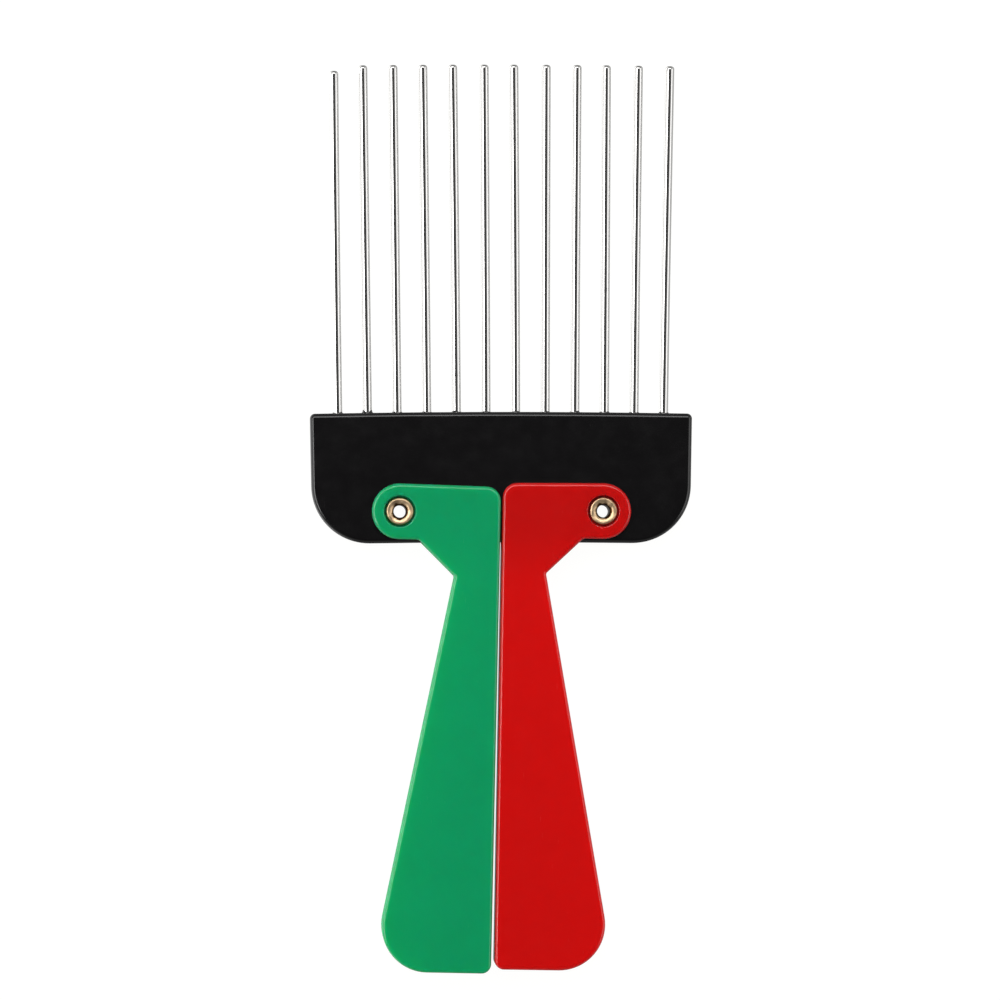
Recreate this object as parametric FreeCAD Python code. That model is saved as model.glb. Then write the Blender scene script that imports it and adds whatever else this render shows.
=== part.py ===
import FreeCAD, Part
import math
import os
from FreeCAD import Vector

# A folding hair pick: steel pins in a moulded head, and two channel handles that swing round
# eyelets until the outer pins lie inside them. All sizes are in millimetres and degrees.
# The pick lies on its back: +X is to the right, +Y along the pins, +Z out of the front.

# Driving dimensions of the pins. The first pin is set a little deeper than the rest.
PIN_COUNT = 12
PIN_PITCH = 5.92
PIN_DIAMETER = 1.8
PIN_EXPOSED = 69.5
PIN_TIP_FLAT = 0.6
FIRST_PIN_SET_BACK = 1.02

# Driving dimensions of the head. Moulding shrinkage bows it about a far centre below the handles,
# so that its sides and the pins spread a little towards the tips.
HEAD_END_WALL = 4.69
HEAD_FACE_WALL = 1.85
HEAD_HEIGHT = 26.0
HEAD_BOW_RADIUS = 2000.0
HEAD_LOWER_CORNER = 11.6
HEAD_UPPER_CORNER = 1.0
HEAD_EDGE_ROUND = 0.9
PIVOT_ABOVE_HEAD_EDGE = 6.16
PIN_ROOT_WALL = 4.0

# Driving dimensions of the rolled eyelets
EYELET_BORE = 2.5
EYELET_WALL = 0.35
EYELET_FLANGE_DIAMETER = 5.7
EYELET_SUNK = 0.05

# Driving dimensions of the handles
RECESS_FLOOR = 0.7
WEB_WALL = 1.7
END_WALL = 1.05
EAR_WALL = 2.4
EAR_TOP_SLOPE = 0.8
EAR_UNDERSIDE = 3.87
EAR_JUNCTION_ROUND = 1.2
NECK_HEIGHT = 7.08
NECK_ANGLE = 46.0
NECK_ROUND = 0.6
SLANT_ANGLE = 10.7
INNER_TOP_ROUND = 2.95
INNER_END_ROUND = 1.9
OUTER_END_ROUND = 9.15
HANDLE_EDGE_ROUND = 0.7
CHANNEL_CORNER_ROUND = 1.0
RECESS_RIM_ROUND = 0.2

# Clearances
PIN_FIT = 0.02
EYELET_FIT = 0.02
EAR_RUNNING_FIT = 0.05
FLANGE_RUNNING_GAP = 0.05
HEAD_PLAY = 0.15
RECESS_MARGIN = 0.3
HANDLE_GAP = 0.34
FOLD_CLEARANCE = 0.52
WEB_CLEARANCE = 1.2
TIP_CLEARANCE = 0.4

# Opened out, both handles lean to the left of square, and spread a little from each other
REST_LEAN = 1.12
REST_SPREAD = 0.2

UP = Vector(0, 0, 1)
SAME_PLACE = 1e-4

# The eyelets' roll is a half ring that curls from the bore out to the flange's rim
bore_radius = EYELET_BORE / 2
barrel_radius = bore_radius + EYELET_WALL
flange_radius = EYELET_FLANGE_DIAMETER / 2
roll_radius = (flange_radius - bore_radius) / 2
recess_radius = flange_radius + RECESS_MARGIN
recess_depth = EYELET_SUNK + roll_radius + FLANGE_RUNNING_GAP

# Levels through the thickness, from the handles' back faces
head_thickness = PIN_DIAMETER + 2 * HEAD_FACE_WALL
channel_gap = head_thickness + 2 * HEAD_PLAY
plate_wall = recess_depth + RECESS_FLOOR
handle_thickness = channel_gap + 2 * plate_wall
mid_level = handle_thickness / 2
head_back = mid_level - head_thickness / 2

# Opened out, the straight edges face each other across HANDLE_GAP. Folded, half a turn about the
# pivots puts each web just outside the head. The two together place the pivots.
head_width = (PIN_COUNT - 1) * PIN_PITCH + PIN_DIAMETER + 2 * HEAD_END_WALL
pivot_x = (head_width / 2 + FOLD_CLEARANCE + WEB_WALL + HANDLE_GAP / 2) / 2
straight_edge = pivot_x - HANDLE_GAP / 2
web_inside = straight_edge - WEB_WALL
web_start = PIVOT_ABOVE_HEAD_EDGE + WEB_CLEARANCE
green_swing = REST_LEAN + REST_SPREAD
red_swing = -REST_LEAN

# The head's bow, with the pivots on the line y = 0. The pins stop short of the eyelets.
pivot_below_top = HEAD_HEIGHT - PIVOT_ABOVE_HEAD_EDGE
bow_centre_y = pivot_below_top - HEAD_BOW_RADIUS
head_half_angle = math.degrees(head_width / 2 / HEAD_BOW_RADIUS)
pin_step_angle = math.degrees(PIN_PITCH / HEAD_BOW_RADIUS)
eyelet_hole_radius = barrel_radius + EYELET_FIT
pin_embedded = pivot_below_top - eyelet_hole_radius - PIN_ROOT_WALL
pin_length = pin_embedded + PIN_EXPOSED


def on_bow(radius, angle, level=0.0):
    """Point at a radius from the bow's centre and an angle from the head's middle line."""
    turn = math.radians(angle)
    return Vector(radius * math.sin(turn), bow_centre_y + radius * math.cos(turn), level)


def pin_angle(number):
    """Angle of a pin on the bow, counted from 1 at the left."""
    return (number - (PIN_COUNT + 1) / 2) * pin_step_angle


def pin_bar(number, radius):
    """Round bar as long as a pin, from the pin's inner end and square to the bowed top of the head."""
    angle = pin_angle(number)
    depth = pin_embedded
    if number == 1:
        depth += FIRST_PIN_SET_BACK
    root = on_bow(HEAD_BOW_RADIUS - depth, angle, mid_level)
    along = on_bow(1.0, angle) - on_bow(0.0, angle)
    return Part.makeCylinder(radius, pin_length, root, along)


# A folded handle takes in the outer pin's tip, so that tip's reach from the pivot sets its length
outer_tip = on_bow(HEAD_BOW_RADIUS + PIN_EXPOSED, pin_angle(PIN_COUNT))
tip_reach = math.hypot(outer_tip.x - pivot_x, outer_tip.y)
end_inside = tip_reach + TIP_CLEARANCE
handle_length = end_inside + END_WALL


def edges_at_level(solid, *levels):
    """Edges that lie flat at one of the levels."""
    flat = []
    for edge in solid.Edges:
        for level in levels:
            if abs(edge.BoundBox.ZMin - level) < SAME_PLACE and abs(edge.BoundBox.ZMax - level) < SAME_PLACE:
                flat.append(edge)
    return flat


def pin(number):
    """Steel pin of straight wire, its tip rounded down to a small flat."""
    bar = pin_bar(number, PIN_DIAMETER / 2)
    rims = [edge for edge in bar.Edges if edge.Closed]
    tip = max(rims, key=lambda edge: edge.CenterOfMass.y)
    return bar.makeFillet((PIN_DIAMETER - PIN_TIP_FLAT) / 2, [tip])


def comb_head():
    """Moulded bar, bowed along its length, with blind sockets for the pins and two eyelet holes."""
    low_radius = HEAD_BOW_RADIUS - HEAD_HEIGHT
    top_left = on_bow(HEAD_BOW_RADIUS, -head_half_angle, head_back)
    top_right = on_bow(HEAD_BOW_RADIUS, head_half_angle, head_back)
    low_left = on_bow(low_radius, -head_half_angle, head_back)
    low_right = on_bow(low_radius, head_half_angle, head_back)
    outline = Part.Wire([
        Part.Arc(top_left, on_bow(HEAD_BOW_RADIUS, 0, head_back), top_right).toShape(),
        Part.LineSegment(top_right, low_right).toShape(),
        Part.Arc(low_right, on_bow(low_radius, 0, head_back), low_left).toShape(),
        Part.LineSegment(low_left, top_left).toShape(),
    ])
    bar = Part.Face(outline).extrude(UP * head_thickness)

    for radius, side in ((HEAD_UPPER_CORNER, 1), (HEAD_LOWER_CORNER, -1)):
        upright = [edge for edge in bar.Edges if abs(edge.BoundBox.ZLength - head_thickness) < SAME_PLACE]
        bar = bar.makeFillet(radius, [edge for edge in upright if edge.CenterOfMass.y * side > 0])
    bar = bar.makeFillet(HEAD_EDGE_ROUND, edges_at_level(bar, head_back, head_back + head_thickness))

    cuts = [pin_bar(number, PIN_DIAMETER / 2 + PIN_FIT) for number in range(1, PIN_COUNT + 1)]
    for side in (-1, 1):
        pivot = Vector(side * pivot_x, 0, 0)
        cuts.append(Part.makeCylinder(eyelet_hole_radius, handle_thickness, pivot, UP))
    return bar.cut(cuts)


def eyelet(side):
    """Brass tube with both ends rolled outwards into half rings, revolved about the pivot."""
    front = handle_thickness - recess_depth + FLANGE_RUNNING_GAP
    back = recess_depth - FLANGE_RUNNING_GAP
    roll_centre = bore_radius + roll_radius
    rim = flange_radius - EYELET_WALL

    def wall(radius, start, end):
        return Part.LineSegment(Vector(radius, 0, start), Vector(radius, 0, end)).toShape()

    def brim(start, end, level):
        return Part.LineSegment(Vector(start, 0, level), Vector(end, 0, level)).toShape()

    def roll(start, end, level, outwards):
        top = Vector(roll_centre, 0, level + outwards * abs(end - start) / 2)
        return Part.Arc(Vector(start, 0, level), top, Vector(end, 0, level)).toShape()

    profile = Part.Wire([
        wall(bore_radius, back, front),
        roll(bore_radius, flange_radius, front, 1),
        brim(flange_radius, rim, front),
        roll(rim, barrel_radius, front, 1),
        wall(barrel_radius, front, back),
        roll(barrel_radius, rim, back, -1),
        brim(rim, flange_radius, back),
        roll(flange_radius, bore_radius, back, -1),
    ])
    tube = Part.Face(profile).revolve(Vector(), UP, 360)
    return tube.translated(Vector(side * pivot_x, 0, 0))


def rounded_chain(corners):
    """Lines through the corner points, each corner between the two ends rounded by its radius."""
    edges = []
    start = corners[0][0]
    for (before, _), (corner, radius), (after, _) in zip(corners, corners[1:], corners[2:]):
        back = (before - corner).normalize()
        ahead = (after - corner).normalize()
        half_angle = back.getAngle(ahead) / 2
        reach = radius / math.tan(half_angle)
        inwards = (back + ahead).normalize()
        middle = corner + inwards * (radius / math.sin(half_angle) - radius)
        edges.append(Part.LineSegment(start, corner + back * reach).toShape())
        start = corner + ahead * reach
        edges.append(Part.Arc(corner + back * reach, middle, start).toShape())
    edges.append(Part.LineSegment(start, corners[-1][0]).toShape())
    return edges


def handle():
    """Left handle about its own pivot: two plates joined by a web down the straight edge and a wall
    across the end. The slanted side and the ear stay open, for the pins and the head."""
    ear_radius = recess_radius + EAR_WALL
    neck_drop = ear_radius + NECK_HEIGHT
    slope = math.radians(EAR_TOP_SLOPE)
    ear_top = Vector(ear_radius * math.sin(slope), ear_radius * math.cos(slope))
    ear_bottom = Vector(0, -ear_radius)
    inner_top = Vector(straight_edge, ear_top.y - (straight_edge - ear_top.x) * math.tan(slope))
    neck_x = EAR_UNDERSIDE + NECK_HEIGHT * math.tan(math.radians(NECK_ANGLE))
    end_x = neck_x - (handle_length - neck_drop) * math.tan(math.radians(SLANT_ANGLE))
    edges = rounded_chain([
        (ear_top, 0.0),
        (inner_top, INNER_TOP_ROUND),
        (Vector(straight_edge, -handle_length), INNER_END_ROUND),
        (Vector(end_x, -handle_length), OUTER_END_ROUND),
        (Vector(neck_x, -neck_drop), NECK_ROUND),
        (Vector(EAR_UNDERSIDE, -ear_radius), EAR_JUNCTION_ROUND),
        (ear_bottom, 0.0),
    ])
    edges.append(Part.Arc(ear_bottom, Vector(-ear_radius, 0), ear_top).toShape())
    shell = Part.Face(Part.Wire(edges)).extrude(UP * handle_thickness)
    shell = shell.makeFillet(HANDLE_EDGE_ROUND, edges_at_level(shell, 0, handle_thickness))

    # The end wall stops where the flat end runs into its large outer corner
    flat_end = end_x + OUTER_END_ROUND * math.tan(math.radians(90 + SLANT_ANGLE) / 2)
    beyond = handle_length + END_WALL
    over_ear = ear_radius + plate_wall
    past_edge = straight_edge + WEB_WALL
    pocket = rounded_chain([
        (Vector(-beyond, over_ear), 0.0),
        (Vector(past_edge, over_ear), CHANNEL_CORNER_ROUND),
        (Vector(past_edge, -web_start), CHANNEL_CORNER_ROUND),
        (Vector(web_inside, -web_start), CHANNEL_CORNER_ROUND),
        (Vector(web_inside, -end_inside), CHANNEL_CORNER_ROUND),
        (Vector(flat_end, -end_inside), 0.0),
    ])
    pocket += Part.makePolygon([
        Vector(flat_end, -end_inside),
        Vector(flat_end, -beyond),
        Vector(-beyond, -beyond),
        Vector(-beyond, over_ear),
    ]).Edges
    channel = Part.Face(Part.Wire(pocket)).extrude(UP * channel_gap)
    shell = shell.cut(channel.translated(UP * plate_wall))

    hole = Part.makeCylinder(barrel_radius + EAR_RUNNING_FIT, handle_thickness, Vector(), UP)
    back_recess = Part.makeCylinder(recess_radius, recess_depth, Vector(), UP)
    front_recess = back_recess.translated(UP * (handle_thickness - recess_depth))
    shell = shell.cut([hole, back_recess, front_recess])
    flat_rings = [edge for edge in edges_at_level(shell, 0, handle_thickness) if edge.Closed]
    return shell.makeFillet(RECESS_RIM_ROUND, flat_rings)


nodes = {"comb_head": comb_head()}
for number in range(1, PIN_COUNT + 1):
    nodes[f"pin_{number:02d}"] = pin(number)
nodes["left_eyelet"] = eyelet(-1)
nodes["right_eyelet"] = eyelet(1)

left_handle = handle()
right_handle = left_handle.mirror(Vector(), Vector(1, 0, 0))
nodes["green_handle"] = left_handle.rotated(Vector(), UP, -green_swing).translated(Vector(-pivot_x, 0, 0))
nodes["red_handle"] = right_handle.rotated(Vector(), UP, red_swing).translated(Vector(pivot_x, 0, 0))

# The origin is half way along the pick, under the head's middle, level with the handles' backs
span = Part.makeCompound(list(nodes.values())).optimalBoundingBox(False)
to_origin = Vector(0, -(span.YMin + span.YMax) / 2, 0)

os.makedirs("parts", exist_ok=True)
for name, shape in nodes.items():
    shape.translated(to_origin).exportStep(f"parts/{name}.step")

print("pivots at x", round(pivot_x, 4), "y", round(to_origin.y, 4), "thickness", round(handle_thickness, 3))
print("pins", round(pin_length, 3), "handles", round(handle_length, 3), "long")
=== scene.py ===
import bpy
import numpy as np
from mathutils import Euler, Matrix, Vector


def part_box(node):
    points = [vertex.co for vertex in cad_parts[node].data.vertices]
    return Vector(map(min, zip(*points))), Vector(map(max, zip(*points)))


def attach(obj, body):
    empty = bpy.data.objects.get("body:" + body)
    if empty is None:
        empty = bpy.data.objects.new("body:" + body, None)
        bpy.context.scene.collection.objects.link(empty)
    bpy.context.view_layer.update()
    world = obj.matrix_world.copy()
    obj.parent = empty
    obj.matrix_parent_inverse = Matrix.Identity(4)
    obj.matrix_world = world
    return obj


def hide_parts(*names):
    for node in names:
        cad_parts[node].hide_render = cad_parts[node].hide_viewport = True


# A folding hair pick that lies on its back: pins along +Y, front faces towards +Z.
# Lengths are in metres, written as so many MM where they are a maker's sizes.
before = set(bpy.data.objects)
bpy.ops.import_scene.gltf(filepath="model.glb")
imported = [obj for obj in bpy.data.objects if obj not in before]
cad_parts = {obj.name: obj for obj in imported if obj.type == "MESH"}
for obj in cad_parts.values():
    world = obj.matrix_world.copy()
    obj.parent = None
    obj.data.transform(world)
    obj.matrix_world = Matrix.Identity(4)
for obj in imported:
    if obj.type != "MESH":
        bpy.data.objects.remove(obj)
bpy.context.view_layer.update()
MM = 0.001


# Comb head: one bar moulded in black ABS round the roots of the pins, bowed a little by shrinkage.
# The polished mould leaves it glossy, with faint sinks, a soft pigment cloud and a few handling scuffs.
HEAD_BLACK = ("#040304", "#070607")
HEAD_ROUGHNESS = (0.15, 0.22)
ABS_IOR = 1.54
NOISE_SPAN = (0.3, 0.7)  # where most values of a noise texture lie


def linear(hex_colour):
    """Linear RGBA of an sRGB hex colour: c / 12.92 up to 0.04045, and ((c + 0.055) / 1.055) ** 2.4 above."""
    channels = np.array([int(hex_colour[i:i + 2], 16) for i in (1, 3, 5)]) / 255
    straight = channels / 12.92
    curved = ((channels + 0.055) / 1.055) ** 2.4
    return (*np.where(channels > 0.04045, curved, straight).tolist(), 1.0)


def add_node(tree, kind, inputs=None, **settings):
    """Adds a shader node, sets its options, and gives each input a value or a link from an output."""
    node = tree.nodes.new(kind)
    for name, value in settings.items():
        setattr(node, name, value)
    for socket, value in (inputs or {}).items():
        if isinstance(value, bpy.types.NodeSocket):
            tree.links.new(value, node.inputs[socket])
        else:
            node.inputs[socket].default_value = value
    return node


def new_material(name):
    """Empty node material with a Principled shader: returns the material, its tree and the shader."""
    material = bpy.data.materials.new(name)
    material.use_nodes = True
    tree = material.node_tree
    tree.nodes.clear()
    shader = add_node(tree, "ShaderNodeBsdfPrincipled")
    add_node(tree, "ShaderNodeOutputMaterial", {"Surface": shader.outputs["BSDF"]})
    return material, tree, shader


def moulded_abs(name, shades, roughness, glow=None, painted_ear_shade=None):
    """Injection moulded ABS. Pigment clouds about 9 mm wide shade the colour, polish varies over 3 mm,
    sinks 16 mm wide bend reflections, a 0.3 mm grain softens them, and a few scuffs 4 mm long cross the
    face. Where the pigment lets light in, glow is how far each colour spreads inside the plastic. The
    last argument is painted shade: a darker colour at the ear, where the plate lies over the black head
    and less light comes through from behind, fading out along the neck."""
    cloud_width, polish_width, sink_width, grain_width = 9 * MM, 3 * MM, 16 * MM, 0.3 * MM
    scuff_width, scuff_length = 0.12 * MM, 4 * MM
    sink_depth, grain_depth, scuff_depth = 0.02 * MM, 0.001 * MM, 0.003 * MM
    scuff_slant, scuff_dullness, scuff_band = 0.6, 0.25, (0.74, 0.84)

    material, tree, shader = new_material(name)
    place = add_node(tree, "ShaderNodeTexCoord").outputs["Object"]
    cloud = add_node(tree, "ShaderNodeTexNoise", {"Vector": place, "Scale": 1 / cloud_width, "Detail": 3.0})
    shade = add_node(tree, "ShaderNodeMix", {
        "Factor": cloud.outputs["Fac"], "A": linear(shades[0]), "B": linear(shades[1])}, data_type="RGBA")

    # Painted shade on the ear: darker where the plate lies over the black head, fading out along the neck.
    if painted_ear_shade:
        full_shade_y, no_shade_y = -2 * MM, -14 * MM
        along = add_node(tree, "ShaderNodeSeparateXYZ", {"Vector": place})
        ear_shading = add_node(tree, "ShaderNodeMapRange", {
            "Value": along.outputs["Y"], "From Min": no_shade_y, "From Max": full_shade_y})
        shade = add_node(tree, "ShaderNodeMix", {
            "Factor": ear_shading.outputs["Result"], "A": shade.outputs["Result"],
            "B": linear(painted_ear_shade)}, data_type="RGBA")

    polish = add_node(tree, "ShaderNodeTexNoise", {"Vector": place, "Scale": 1 / polish_width, "Detail": 4.0})
    gloss = add_node(tree, "ShaderNodeMapRange", {
        "Value": polish.outputs["Fac"], "From Min": NOISE_SPAN[0], "From Max": NOISE_SPAN[1],
        "To Min": roughness[0], "To Max": roughness[1]})

    turned = add_node(tree, "ShaderNodeMapping", {
        "Vector": place, "Rotation": (0.0, 0.0, scuff_slant),
        "Scale": (1 / scuff_width, 1 / scuff_length, 1 / scuff_length)})
    streaks = add_node(tree, "ShaderNodeTexNoise", {"Vector": turned.outputs["Vector"], "Scale": 1.0})
    scuffs = add_node(tree, "ShaderNodeMapRange", {
        "Value": streaks.outputs["Fac"], "From Min": scuff_band[0], "From Max": scuff_band[1]})
    duller = add_node(tree, "ShaderNodeMath", {
        0: scuffs.outputs["Result"], 1: scuff_dullness, 2: gloss.outputs["Result"]}, operation="MULTIPLY_ADD")

    sinks = add_node(tree, "ShaderNodeTexNoise", {"Vector": place, "Scale": 1 / sink_width, "Detail": 0.0})
    grain = add_node(tree, "ShaderNodeTexNoise", {"Vector": place, "Scale": 1 / grain_width, "Detail": 1.0})
    sunk = add_node(tree, "ShaderNodeBump", {"Height": sinks.outputs["Fac"], "Distance": sink_depth})
    grained = add_node(tree, "ShaderNodeBump", {
        "Height": grain.outputs["Fac"], "Distance": grain_depth, "Normal": sunk.outputs["Normal"]})
    scuffed = add_node(tree, "ShaderNodeBump", {
        "Height": scuffs.outputs["Result"], "Distance": scuff_depth, "Normal": grained.outputs["Normal"]},
        invert=True)

    tree.links.new(shade.outputs["Result"], shader.inputs["Base Color"])
    tree.links.new(duller.outputs["Value"], shader.inputs["Roughness"])
    tree.links.new(scuffed.outputs["Normal"], shader.inputs["Normal"])
    shader.inputs["IOR"].default_value = ABS_IOR
    if glow:
        shader.inputs["Subsurface Weight"].default_value = 1.0
        shader.inputs["Subsurface Radius"].default_value = glow
        shader.inputs["Subsurface Scale"].default_value = 1.0
    return material


black_abs = moulded_abs("glossy_black_abs", HEAD_BLACK, HEAD_ROUGHNESS)
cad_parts["comb_head"].material_slots[0].material = black_abs


# Pins: twelve lengths of nickel plated steel wire, cut, rounded at the tip and moulded into the head.
# Each has been bent a little off its line in use, so none stands quite like its neighbour.
PIN_COUNT = 12
PIN_PITCH = 5.92 * MM
PIN_RADIUS = 0.9 * MM
PIN_EXPOSED = 69.5 * MM
PIN_EMBEDDED = 14.22 * MM
FIRST_PIN_SET_BACK = 1.02 * MM
PIN_TIP_ROUND = 0.6 * MM
HEAD_BOW_RADIUS = 2000 * MM
PIN_LEANS = np.array([0.40, 0.08, -0.02, -0.18, -0.33, -0.16, -0.34, 0.02, 0.09, -0.17, 0.13, 0.30]) * MM
PIN_SIDES = 48
PIN_RINGS = 61
TIP_RINGS = 13
NICKEL = ("#c9c8c6", "#dedddb")

head_low, head_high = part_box("comb_head")
bow_centre = np.array([0.0, head_high.y - HEAD_BOW_RADIUS, (head_low.z + head_high.z) / 2])


def mesh_object(name, points, faces, material):
    """Mesh object with smooth faces, in the scene and at the origin."""
    mesh = bpy.data.meshes.new(name)
    mesh.from_pydata(points.reshape(-1, 3), [], faces)
    mesh.polygons.foreach_set("use_smooth", np.ones(len(mesh.polygons), bool))
    mesh.materials.append(material)
    piece = bpy.data.objects.new(name, mesh)
    bpy.context.scene.collection.objects.link(piece)
    return piece


def ring_faces(rings, sides, first=0):
    """Quads between neighbouring rings of points, each ring closed on itself."""
    ring, side = np.meshgrid(np.arange(rings - 1), np.arange(sides), indexing="ij")
    after = (side + 1) % sides
    corners = [ring * sides + side, ring * sides + after, (ring + 1) * sides + after, (ring + 1) * sides + side]
    return (np.stack(corners, -1).reshape(-1, 4) + first).tolist()


def pin_frame(number):
    """Unit vectors of one pin: along it, away from the bow's centre, and across it to the right."""
    angle = (number - (PIN_COUNT + 1) / 2) * PIN_PITCH / HEAD_BOW_RADIUS
    return np.array([np.sin(angle), np.cos(angle), 0.0]), np.array([np.cos(angle), -np.sin(angle), 0.0])


def wire_pin(number, lean):
    """Round wire carried along a nearly straight line. At s from the root the centre is root + s along,
    moved across by lean (s / exposed) ** 1.5 above the head. The radius is constant up to the tip, where
    it follows a quarter circle in to the flat end."""
    along, across = pin_frame(number)
    set_back = FIRST_PIN_SET_BACK if number == 1 else 0.0
    wire = np.linspace(-PIN_EMBEDDED, PIN_EXPOSED - PIN_TIP_ROUND, PIN_RINGS)
    turn = np.linspace(0, np.pi / 2, TIP_RINGS)[1:]
    s = np.concatenate([wire[:1], wire, PIN_EXPOSED - PIN_TIP_ROUND * (1 - np.sin(turn)), [PIN_EXPOSED]])
    tip = PIN_RADIUS - PIN_TIP_ROUND * (1 - np.cos(turn))
    radius = np.concatenate([[0.0], np.full(wire.size, PIN_RADIUS), tip, [0.0]])

    offset = lean * np.clip(s / PIN_EXPOSED, 0, 1) ** 1.5
    centre = bow_centre + np.outer(HEAD_BOW_RADIUS - set_back + s, along) + np.outer(offset, across)
    angle = np.linspace(0, 2 * np.pi, PIN_SIDES, endpoint=False)
    rim = np.outer(np.cos(angle), across) + np.outer(np.sin(angle), np.cross(across, along))
    rings = centre[1:-1, None] + radius[1:-1, None, None] * rim
    points = np.concatenate([rings.reshape(-1, 3), centre[[0, -1]]])

    around = np.arange(PIN_SIDES)
    following = (around + 1) % PIN_SIDES
    last = (len(rings) - 1) * PIN_SIDES
    root_fan = np.stack([following, around, np.full(PIN_SIDES, len(points) - 2)], -1)
    tip_fan = np.stack([last + around, last + following, np.full(PIN_SIDES, len(points) - 1)], -1)
    faces = ring_faces(len(rings), PIN_SIDES) + root_fan.tolist() + tip_fan.tolist()
    return points, faces


def nickel_plated_wire():
    """Bright nickel over drawn steel. Drawing lines 0.05 mm apart run along the wire and streak its shine,
    ripples about 7 mm long in the straightened wire make the reflected lines waver, and a few nicks about
    1 mm long break them."""
    line_width, line_length, ripple_length, nick_length = 0.05 * MM, 12 * MM, 7 * MM, 1 * MM
    line_depth, ripple_depth, nick_depth = 0.0001 * MM, 0.03 * MM, 0.005 * MM
    roughness, nick_band = (0.05, 0.12), (0.7, 0.8)

    material, tree, shader = new_material("nickel_plated_wire")
    place = add_node(tree, "ShaderNodeTexCoord").outputs["Object"]
    drawn = add_node(tree, "ShaderNodeMapping", {
        "Vector": place, "Scale": (1 / line_width, 1 / line_length, 1 / line_width)})
    lines = add_node(tree, "ShaderNodeTexNoise", {
        "Vector": drawn.outputs["Vector"], "Scale": 1.0, "Detail": 2.0})
    shade = add_node(tree, "ShaderNodeMix", {
        "Factor": lines.outputs["Fac"], "A": linear(NICKEL[0]), "B": linear(NICKEL[1])}, data_type="RGBA")
    gloss = add_node(tree, "ShaderNodeMapRange", {
        "Value": lines.outputs["Fac"], "From Min": NOISE_SPAN[0], "From Max": NOISE_SPAN[1],
        "To Min": roughness[0], "To Max": roughness[1]})
    ripple = add_node(tree, "ShaderNodeTexNoise", {"Vector": place, "Scale": 1 / ripple_length, "Detail": 1.0})
    rippled = add_node(tree, "ShaderNodeBump", {"Height": ripple.outputs["Fac"], "Distance": ripple_depth})
    lined = add_node(tree, "ShaderNodeBump", {
        "Height": lines.outputs["Fac"], "Distance": line_depth, "Normal": rippled.outputs["Normal"]})
    nicks = add_node(tree, "ShaderNodeTexNoise", {"Vector": place, "Scale": 1 / nick_length, "Detail": 0.0})
    nick = add_node(tree, "ShaderNodeMapRange", {
        "Value": nicks.outputs["Fac"], "From Min": nick_band[0], "From Max": nick_band[1]})
    nicked = add_node(tree, "ShaderNodeBump", {
        "Height": nick.outputs["Result"], "Distance": nick_depth, "Normal": lined.outputs["Normal"]},
        invert=True)
    tree.links.new(shade.outputs["Result"], shader.inputs["Base Color"])
    tree.links.new(gloss.outputs["Result"], shader.inputs["Roughness"])
    tree.links.new(nicked.outputs["Normal"], shader.inputs["Normal"])
    shader.inputs["Metallic"].default_value = 1.0
    return material


plated_steel = nickel_plated_wire()
for number, lean in enumerate(PIN_LEANS, start=1):
    pin = mesh_object(f"wire_pin_{number:02d}", *wire_pin(number, lean), plated_steel)
    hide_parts(f"pin_{number:02d}")
    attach(pin, "head")


# Root flash: where each pin leaves the mould, a little black plastic creeps up it and sets as an
# uneven collar. The collars are part of the head's moulding.
FLASH_WIDTH = 0.3 * MM
FLASH_HEIGHTS = np.array([0.3, 0.7, 0.25, 0.2, 0.3, 0.2, 0.25, 0.2, 0.3, 0.25, 0.2, 0.3]) * MM
FLASH_SUNK = 0.1 * MM
FLASH_GRIP = 0.02 * MM
FLASH_SIDES = 40
FLASH_STEPS = 9


def flash_collar(number):
    """Ring of plastic round a pin's root. Its face is a hollow quarter circle, width (1 - cos u) out from
    the wire and height (1 - sin u) up it, closed below the head's surface and just inside the wire. Both
    swell and shrink by a third or so round the pin, in waves that start at a different place on each pin."""
    along, across = pin_frame(number)
    u = np.linspace(0, np.pi / 2, FLASH_STEPS)
    out = np.concatenate([1 - np.cos(u), [1.0, 0.0]])
    up = np.concatenate([1 - np.sin(u), [0.0, 0.0]])
    sunk = np.concatenate([np.zeros(u.size), [FLASH_SUNK, FLASH_SUNK]])
    angle = np.linspace(0, 2 * np.pi, FLASH_SIDES, endpoint=False)
    broad_wave, fine_wave, shift_per_pin = 0.35, 0.15, 0.7
    start = shift_per_pin * (number - 2)
    swell = 1 + broad_wave * np.cos(2 * angle + start) + fine_wave * np.sin(3 * angle + start)
    rim = np.outer(np.cos(angle), across) + np.outer(np.sin(angle), np.cross(across, along))
    distance = PIN_RADIUS - FLASH_GRIP + FLASH_WIDTH * swell[:, None] * out
    level = HEAD_BOW_RADIUS + FLASH_HEIGHTS[number - 1] * swell[:, None] * up - sunk
    return bow_centre + distance[..., None] * rim[:, None] + level[..., None] * along


def closed_ring_faces(turns, steps):
    """Quads of a ring: a closed profile of so many steps, set at so many turns round an axis."""
    turn, step = np.meshgrid(np.arange(turns), np.arange(steps), indexing="ij")
    next_turn, next_step = (turn + 1) % turns, (step + 1) % steps
    return np.stack([turn * steps + step, turn * steps + next_step,
                     next_turn * steps + next_step, next_turn * steps + step], -1).reshape(-1, 4)


collars = np.stack([flash_collar(number) for number in range(1, PIN_COUNT + 1)])
turns, steps = collars.shape[1:3]
first = np.arange(PIN_COUNT)[:, None, None] * turns * steps
collar_faces = (closed_ring_faces(turns, steps) + first).reshape(-1, 4).tolist()
root_flash = mesh_object("root_flash", collars, collar_faces, black_abs)
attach(root_flash, "head")
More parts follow.
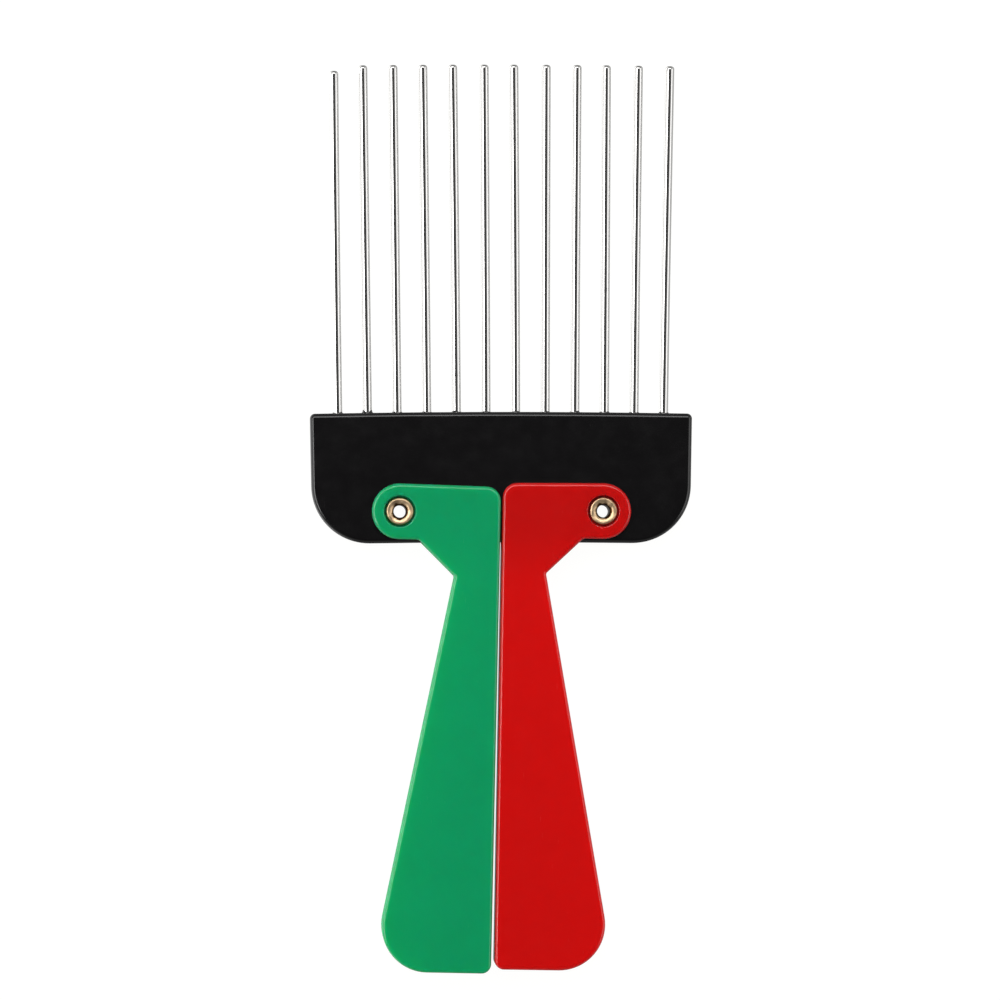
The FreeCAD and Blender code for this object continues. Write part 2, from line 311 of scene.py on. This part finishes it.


# Eyelets: brass tubes put through ear and head and rolled over at both ends, so each handle turns on one.
# Rolling leaves fine wrinkles round the roll. The brass is darker towards the bore, and painted shade darkens
# the foot of the roll, where the recess wall shades it.
EYELET_BORE_RADIUS = 1.25 * MM
EYELET_WALL = 0.35 * MM
EYELET_RIM_RADIUS = 2.85 * MM
EYELET_ROLL_HEIGHT = 0.8 * MM
EYELET_CREST_RADIUS = 2.38 * MM
EYELET_CREST_WANDER = 0.05 * MM
EYELET_CREST_DIP = 0.06 * MM
EYELET_TURNS = 96
EYELET_STEPS = 15
# Brass, and the darker colour used towards the bore and as painted shade on the foot of the roll.
BRASS = ("#e4c49c", "#4a3018")


def rolled_tube(node, start):
    """Tube rolled over at both ends. From the bore the profile climbs a quarter ellipse to the crest and falls
    by a steeper one to the rim, and the underside follows a wall's thickness inside, in to the barrel.
    The back end is the same, turned over. The setting tool leaves the crest uneven: round the axis it lies
    up to 0.06 mm low and 0.05 mm in or out, in waves that begin at the angle start."""
    low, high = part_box(node)
    axis = (low + high) / 2
    angle = np.linspace(0, 2 * np.pi, EYELET_TURNS, endpoint=False)[:, None]
    crest = EYELET_CREST_RADIUS + EYELET_CREST_WANDER * np.sin(3 * angle + start)
    dips = (2 + np.sin(5 * angle + start) + np.sin(8 * angle + 2 * start)) / 4
    height = EYELET_ROLL_HEIGHT - EYELET_CREST_DIP * dips
    barrel = EYELET_BORE_RADIUS + EYELET_WALL
    u = np.linspace(0, np.pi / 2, EYELET_STEPS)
    v = u[1:]
    radius = np.concatenate([
        crest - (crest - EYELET_BORE_RADIUS) * np.cos(u),
        crest + (EYELET_RIM_RADIUS - crest) * np.sin(v),
        crest + (EYELET_RIM_RADIUS - EYELET_WALL - crest) * np.cos(u),
        crest - (crest - barrel) * np.sin(v)[:-1],
        barrel + 0 * angle], 1)
    lift = np.concatenate([
        height * np.sin(u), height * np.cos(v), (height - EYELET_WALL) * np.sin(u),
        (height - EYELET_WALL) * np.cos(v)[:-1], 0 * angle], 1)
    radius = np.concatenate([radius, radius[:, ::-1]], 1)
    front, back = high.z - EYELET_ROLL_HEIGHT, low.z + EYELET_ROLL_HEIGHT
    level = np.concatenate([front + lift, back - lift[:, ::-1]], 1)
    points = np.stack([axis.x + radius * np.cos(angle), axis.y + radius * np.sin(angle), level], -1)
    return points, closed_ring_faces(*radius.shape).tolist()


def rolled_brass(name, node):
    """Drawn and rolled brass, worn bright along the crest of the roll. The colour is darker towards the axis,
    over the bore and the inner slope out to a reach, with an edge that wanders in blots 0.9 mm wide. Painted
    shade darkens the foot of the roll outside a start radius, where the recess wall shades it. Wrinkles
    0.35 mm apart cross the roll."""
    wrinkle_width, blot_width = 0.35 * MM, 0.9 * MM
    wrinkle_depth, blot_wander = 0.01 * MM, 1.1 * MM
    # Darker towards the bore out to this reach. Painted shade on the foot of the roll runs from the start to
    # the end radius below.
    dark_reach, dark_fade = 1.85 * MM, 0.35 * MM
    foot_shade_start, foot_shade_end, foot_shade_depth = 2.4 * MM, 2.75 * MM, 0.75
    roughness = (0.3, 0.45)
    low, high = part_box(node)
    axis = (low + high) / 2

    material, tree, shader = new_material(name)
    place = add_node(tree, "ShaderNodeTexCoord").outputs["Object"]
    blots = add_node(tree, "ShaderNodeTexNoise", {"Vector": place, "Scale": 1 / blot_width, "Detail": 2.0})
    centred = add_node(tree, "ShaderNodeMapping", {
        "Vector": place, "Location": (-axis.x, -axis.y, 0.0), "Scale": (1.0, 1.0, 0.0)})
    from_axis = add_node(tree, "ShaderNodeVectorMath", {0: centred.outputs["Vector"]}, operation="LENGTH")
    wandered = add_node(tree, "ShaderNodeMath", {
        0: blots.outputs["Fac"], 1: blot_wander, 2: from_axis.outputs["Value"]}, operation="MULTIPLY_ADD")
    # Darker colour towards the bore, with a wandering edge.
    edge = dark_reach + blot_wander / 2
    bore_dark = add_node(tree, "ShaderNodeMapRange", {
        "Value": wandered.outputs["Value"], "From Min": edge, "From Max": edge - dark_fade})
    # Painted shade: the foot of the roll is darkened where the recess wall shades it.
    foot_shade = add_node(tree, "ShaderNodeMapRange", {
        "Value": from_axis.outputs["Value"], "From Min": foot_shade_start, "From Max": foot_shade_end,
        "To Max": foot_shade_depth})
    dark = add_node(tree, "ShaderNodeMath", {
        0: bore_dark.outputs["Result"], 1: foot_shade.outputs["Result"]}, operation="MAXIMUM")
    shade = add_node(tree, "ShaderNodeMix", {
        "Factor": dark.outputs["Value"], "A": linear(BRASS[0]), "B": linear(BRASS[1])}, data_type="RGBA")
    gloss = add_node(tree, "ShaderNodeMapRange", {
        "Value": blots.outputs["Fac"], "From Min": NOISE_SPAN[0], "From Max": NOISE_SPAN[1],
        "To Min": roughness[0], "To Max": roughness[1]})
    wrinkles = add_node(tree, "ShaderNodeTexNoise", {
        "Vector": place, "Scale": 1 / wrinkle_width, "Detail": 1.0})
    wrinkled = add_node(tree, "ShaderNodeBump", {
        "Height": wrinkles.outputs["Fac"], "Distance": wrinkle_depth})
    tree.links.new(shade.outputs["Result"], shader.inputs["Base Color"])
    tree.links.new(gloss.outputs["Result"], shader.inputs["Roughness"])
    tree.links.new(wrinkled.outputs["Normal"], shader.inputs["Normal"])
    shader.inputs["Metallic"].default_value = 1.0
    return material


for side, start in (("left", 0.4), ("right", 2.1)):
    node = f"{side}_eyelet"
    brass = rolled_brass(f"rolled_brass_{side}", node)
    eyelet = mesh_object(f"rolled_eyelet_{side}", *rolled_tube(node, start), brass)
    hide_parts(node)
    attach(eyelet, "head")


# Handles: channels moulded in green and in red ABS, closed along the straight edge and across the end.
# They come from the same kind of mould as the head, with the same gloss, sinks and handling scuffs.
# The red one carries painted shade at the ear, where it lies over the black head and less light comes through
# from behind.
HANDLE_GREEN = ("#03935c", "#059962")
HANDLE_RED = ("#c40302", "#ca0403")
# Painted shade for the red ear, where it lies over the black head.
RED_EAR_PAINTED_SHADE = "#b90302"
HANDLE_ROUGHNESS = (0.16, 0.22)
GREEN_GLOW = (1.0 * MM, 5 * MM, 2.5 * MM)
RED_GLOW = (4 * MM, 0.4 * MM, 0.4 * MM)

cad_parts["green_handle"].material_slots[0].material = moulded_abs(
    "glossy_green_abs", HANDLE_GREEN, HANDLE_ROUGHNESS, GREEN_GLOW)
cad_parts["red_handle"].material_slots[0].material = moulded_abs(
    "glossy_red_abs", HANDLE_RED, HANDLE_ROUGHNESS, RED_GLOW, RED_EAR_PAINTED_SHADE)


# Studio: a white table top that glows like an opal panel, softboxes to the left, beyond the pins and to the
# right, and a fill light above. As in a cut-out catalogue picture, gloss and edges take their light from the
# lamps and a dim room, and not from the table. The room's sides are pale, its ends and its ceiling dark.
FLOOR_REACH = 4.0
FLOOR_LEVEL = -0.1 * MM
FLOOR_WHITE = "#fdfdfc"
FLOOR_OPAL = "#484848"
FLOOR_GLOW = 0.99
FLOOR_ROUGHNESS = 0.9
FLOOR_SPECULAR = 0.1
ROOM = {"horizon": 0.7, "left_horizon": 0.9, "ceiling": 0.1, "left": 2.3, "right": 0.5, "ends": 0.3}
ROOM_SIDE_FADE = (0.2, 0.7)
ROOM_CEILING_RISE = 0.7
ROOM_HORIZON_BLUR = 0.05
CAMERA_LENS = 216.0
SENSOR_WIDTH = 36.0
PICTURE_WIDTH = 0.19937
PICTURE_CENTRE = Vector((-0.26 * MM, 3.55 * MM, 6.5 * MM))
CAMERA_TURN = Euler((0.0175, -0.035, -0.00175))

corners = np.array([[-1, -1, 0], [1, -1, 0], [1, 1, 0], [-1, 1, 0]]) * FLOOR_REACH
corners[:, 2] = FLOOR_LEVEL
table_white, _, table_shader = new_material("matt_white_table")
table_shader.inputs["Base Color"].default_value = linear(FLOOR_OPAL)
table_shader.inputs["Roughness"].default_value = FLOOR_ROUGHNESS
table_shader.inputs["Specular IOR Level"].default_value = FLOOR_SPECULAR
table_shader.inputs["Emission Color"].default_value = linear(FLOOR_WHITE)
table_shader.inputs["Emission Strength"].default_value = FLOOR_GLOW
floor = mesh_object("table_top", corners, [(0, 1, 2, 3)], table_white)
floor.visible_glossy = False
floor.visible_diffuse = False


def softbox(name, place, width, height, radiance, mirrored=True):
    """Rectangular light at a place, turned to face the pick. Its power is radiance times pi times area.
    A fill light that isn't mirrored lights the matt side of things and leaves no image in gloss."""
    data = bpy.data.lights.new(name, "AREA")
    data.shape = "RECTANGLE"
    data.size = width
    data.size_y = height
    data.energy = radiance * np.pi * width * height
    lamp = bpy.data.objects.new(name, data)
    lamp.location = place
    lamp.rotation_euler = (Vector(place) - PICTURE_CENTRE).to_track_quat("Z", "Y").to_euler()
    lamp.visible_camera = False
    lamp.visible_glossy = mirrored
    bpy.context.scene.collection.objects.link(lamp)


softbox("left_softbox", (-0.65, 0.09, 0.755), 1.0, 0.25, 6.2)
softbox("left_panel", (-0.94, 0.0, 0.34), 0.5, 0.62, 1.15)
softbox("far_softbox", (0.0, 0.4, 0.66), 0.75, 0.3, 3.8)
softbox("right_softbox", (0.9, 0.0, 0.6), 1.0, 0.7, 1.45)
softbox("overhead_fill", (0.0, 0.3, 0.6), 0.5, 0.5, 1.6, mirrored=False)

room = bpy.data.worlds.new("dim_room")
room.use_nodes = True
room_tree = room.node_tree
room_tree.nodes.clear()
towards = add_node(room_tree, "ShaderNodeSeparateXYZ", {
    "Vector": add_node(room_tree, "ShaderNodeTexCoord").outputs["Generated"]})
horizon = add_node(room_tree, "ShaderNodeMapRange", {
    "Value": towards.outputs["X"], "From Min": -ROOM_SIDE_FADE[0], "From Max": -ROOM_SIDE_FADE[1],
    "To Min": ROOM["horizon"], "To Max": ROOM["left_horizon"]})
upper = add_node(room_tree, "ShaderNodeMapRange", {
    "Value": towards.outputs["Z"], "From Min": 0.0, "From Max": ROOM_CEILING_RISE,
    "To Min": horizon.outputs["Result"], "To Max": ROOM["ceiling"]})
left_side = add_node(room_tree, "ShaderNodeMapRange", {
    "Value": towards.outputs["X"], "From Min": -ROOM_SIDE_FADE[0], "From Max": -ROOM_SIDE_FADE[1],
    "To Min": ROOM["ends"], "To Max": ROOM["left"]})
right_side = add_node(room_tree, "ShaderNodeMapRange", {
    "Value": towards.outputs["X"], "From Min": ROOM_SIDE_FADE[0], "From Max": ROOM_SIDE_FADE[1],
    "To Min": 0.0, "To Max": ROOM["right"]})
lower = add_node(room_tree, "ShaderNodeMath", {
    0: left_side.outputs["Result"], 1: right_side.outputs["Result"]}, operation="ADD")
rise = add_node(room_tree, "ShaderNodeMapRange", {
    "Value": towards.outputs["Z"], "From Min": -ROOM_HORIZON_BLUR, "From Max": ROOM_HORIZON_BLUR})
light = add_node(room_tree, "ShaderNodeMix", {
    "Factor": rise.outputs["Result"], "A": lower.outputs["Value"], "B": upper.outputs["Result"]})
glow = add_node(room_tree, "ShaderNodeBackground", {"Strength": light.outputs["Result"]})
add_node(room_tree, "ShaderNodeOutputWorld", {"Surface": glow.outputs["Background"]})
bpy.context.scene.world = room
bpy.context.scene.view_settings.view_transform = "Standard"

lens = bpy.data.cameras.new("camera")
lens.lens = CAMERA_LENS
lens.sensor_width = SENSOR_WIDTH
camera = bpy.data.objects.new("camera", lens)
camera.rotation_euler = CAMERA_TURN
back = CAMERA_TURN.to_matrix() @ Vector((0.0, 0.0, PICTURE_WIDTH * CAMERA_LENS / SENSOR_WIDTH))
camera.location = PICTURE_CENTRE + back
bpy.context.scene.collection.objects.link(camera)
bpy.context.scene.camera = camera
